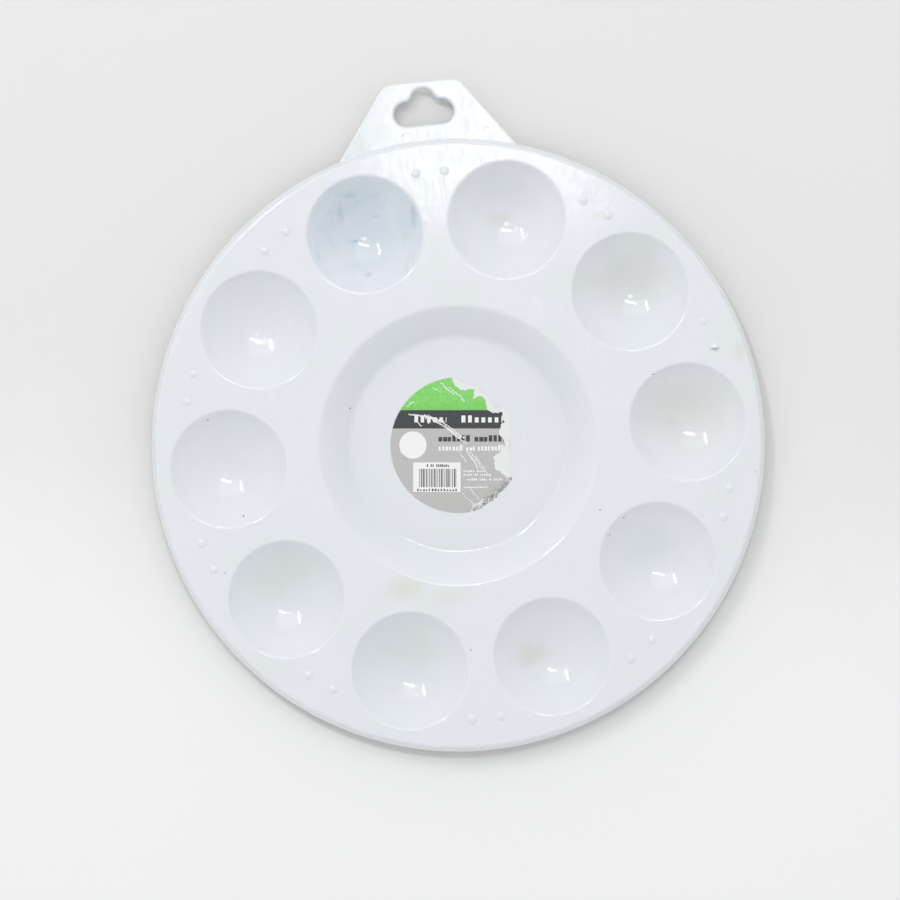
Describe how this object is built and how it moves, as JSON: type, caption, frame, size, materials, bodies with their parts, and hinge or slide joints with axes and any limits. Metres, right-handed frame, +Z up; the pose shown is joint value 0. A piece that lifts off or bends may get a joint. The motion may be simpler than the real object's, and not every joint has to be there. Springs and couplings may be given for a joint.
{
  "type": "mixing palette",
  "caption": "Round white plastic mixing palette with a ring of bowls, a large central well, a hanging tab and a torn round label.",
  "frame": {"origin": "the palette's centre, on the plane that the underside of the central well rests on", "axes": "+Z up out of the bowls, +Y from the centre to the hanging tab, +X to the right"},
  "size_m": [0.2294, 0.2512, 0.0137],
  "materials": {
    "white_plastic": "glossy, injection moulded, lightly scratched and paint stained",
    "label_adhesive": "cloudy pressure sensitive adhesive",
    "label_paper": "torn, furred label paper",
    "label_print": "satin printed label face, scratched and torn"
  },
  "bodies": {
    "root": {"palette_moulding": "white_plastic", "label_adhesive": "label_adhesive", "label_paper": "label_paper", "label_print": "label_print"}
  },
  "joints": []
}
